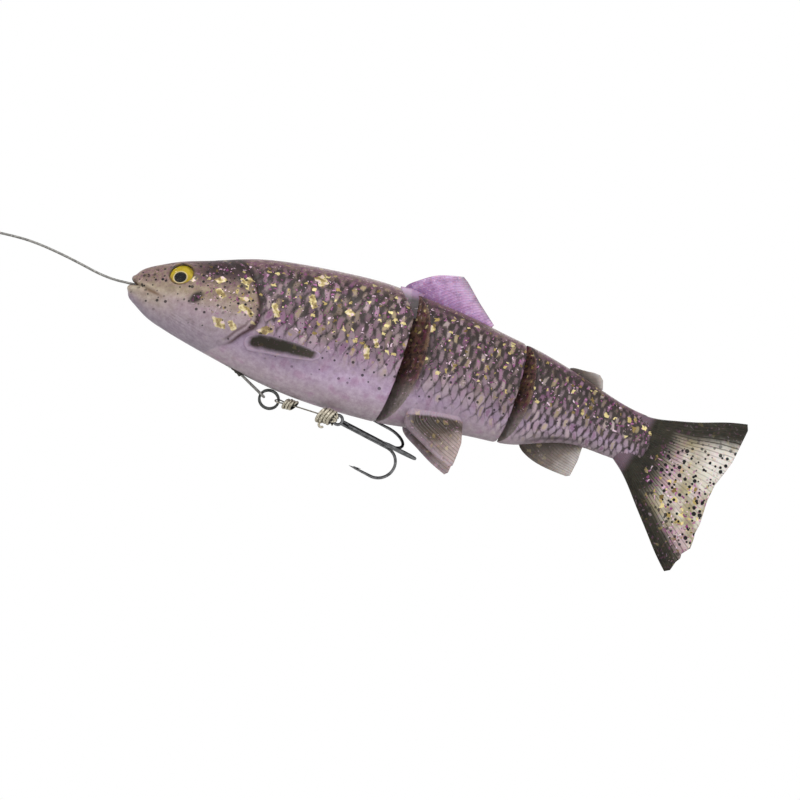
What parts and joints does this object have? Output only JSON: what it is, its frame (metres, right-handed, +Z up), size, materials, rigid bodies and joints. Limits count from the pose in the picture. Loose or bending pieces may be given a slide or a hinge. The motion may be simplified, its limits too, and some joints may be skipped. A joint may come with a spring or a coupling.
{
  "type": "jointed swimbait",
  "caption": "Jointed soft-plastic fish lure with a line-through wire leader, split ring, wire trace and a treble hook under the belly.",
  "frame": {"origin": "the point between the lips where the leader enters the mouth", "axes": "+X towards the tail, +Y towards the fish's right flank, +Z up"},
  "size_m": [0.2701, 0.033, 0.0712],
  "materials": {
    "soft_body": "soft gloss",
    "purple_fin": "translucent",
    "pale_fin": "translucent",
    "dark_fin": "translucent",
    "tail_fin": "translucent",
    "weight": "dull",
    "iris": "printed foil",
    "lens": "clear dome",
    "leader_wire": "coated wire",
    "sleeve": "dark plated",
    "swivel": "dark plated",
    "tube": "clear tube",
    "net": "mesh",
    "ring_steel": "polished",
    "trace_steel": "bright wire",
    "hook_steel": "black nickel"
  },
  "bodies": {
    "front": {"front_body": "soft_body", "left_pectoral_fin": "dark_fin", "right_pectoral_fin": "dark_fin", "front_keel_weight": "weight", "left_iris": "iris", "right_iris": "iris", "left_lens": "lens", "right_lens": "lens", "front_core_net": "net", "front_joint_web": "net", "line_tube": "tube", "free_leader": "leader_wire", "leader_end_sleeve": "sleeve", "leader_end_loop": "leader_wire", "swivel_barrel": "swivel"},
    "middle": {"middle_body": "soft_body", "dorsal_fin": "purple_fin", "left_pelvic_fin": "dark_fin", "right_pelvic_fin": "dark_fin", "middle_keel_weight": "weight", "middle_core_net": "net", "rear_joint_web": "net"},
    "tail": {"tail_body": "soft_body", "adipose_fin": "soft_body", "anal_fin": "pale_fin", "tail_core_net": "net"},
    "tail_fin": {"tail_fin": "tail_fin"},
    "rig": {"rig_leader": "leader_wire", "rig_sleeve": "sleeve", "rig_loop": "leader_wire"},
    "ring": {"split_ring": "ring_steel"},
    "trace": {"trace_wire": "trace_steel", "ring_end_wraps": "trace_steel", "hook_end_wraps": "trace_steel"},
    "treble": {"double_hook": "hook_steel", "single_hook": "hook_steel"},
    "swivel_eye": {"swivel_outer_eye": "swivel"}
  },
  "joints": [
    {"name": "front_joint", "type": "hinge", "parent": "front", "child": "middle", "pos_m": [0.0863, 0, 0], "axis": [0, 0, 1], "range_deg": [-20, 20], "deforming": ["front_joint_web"]},
    {"name": "rear_joint", "type": "hinge", "parent": "middle", "child": "tail", "pos_m": [0.125, 0, 0], "axis": [0, 0, 1], "range_deg": [-20, 20], "deforming": ["rear_joint_web"]},
    {"name": "tail_fin_flex", "type": "hinge", "parent": "tail", "child": "tail_fin", "pos_m": [0.1655, 0, 0], "axis": [0, 0, 1], "range_deg": [-20, 20], "stiffness_Nm_per_rad": 0.004},
    {"name": "line_slide", "type": "slide", "parent": "front", "child": "rig", "axis": [0.891, 0, -0.454], "range_m": [0, 0.02]},
    {"name": "ring_spin", "type": "hinge", "parent": "rig", "child": "ring", "pos_m": [0.0523, 0.00045, -0.02205], "axis": [0, 0.8829, 0.4695], "continuous": true},
    {"name": "trace_swing", "type": "hinge", "parent": "rig", "child": "trace", "pos_m": [0.0523, 0.00045, -0.02205], "axis": [0, 0.8829, 0.4695], "range_deg": [0, 90]},
    {"name": "hook_swing", "type": "hinge", "parent": "trace", "child": "treble", "pos_m": [0.0752, -0.0055, -0.0222], "axis": [-0.253, 0.9667, 0.0391], "range_deg": [0, 60]},
    {"name": "swivel_spin", "type": "hinge", "parent": "front", "child": "swivel_eye", "pos_m": [-0.06711, 0.00186, 0.00074], "axis": [-0.9901, 0.1066, -0.0914], "continuous": true}
  ]
}
